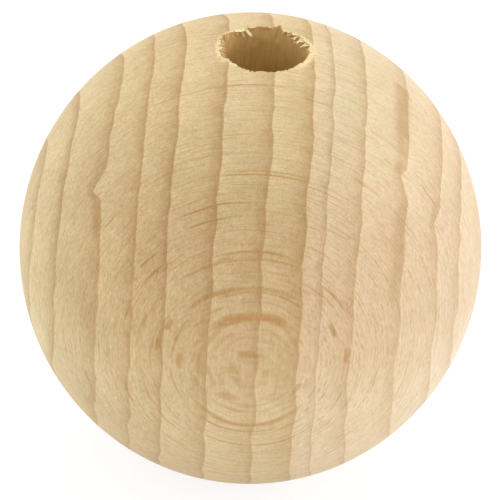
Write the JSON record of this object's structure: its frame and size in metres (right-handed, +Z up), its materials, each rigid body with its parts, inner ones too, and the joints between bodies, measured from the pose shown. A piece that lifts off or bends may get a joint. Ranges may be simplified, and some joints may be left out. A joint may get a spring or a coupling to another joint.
{
  "type": "wooden bead",
  "caption": "Plain turned ball bead of pale raw wood, drilled right through along the grain for a cord, with one rim torn by the drill.",
  "frame": {"origin": "the bead's middle, on the bore's axis and halfway between the rims of its two mouths", "axes": "+Z up the bore to the torn rim; -Y is the side with the round ray figure, which faces the viewer; the growth rings stand side by side along X, with the pith towards -X"},
  "size_m": [0.03, 0.03, 0.0304],
  "materials": {
    "raw_wood": "raw, fine-turned and matt, pale cream to tan with growth rings and rays"
  },
  "bodies": {
    "root": {"bead": "raw_wood"}
  },
  "joints": []
}
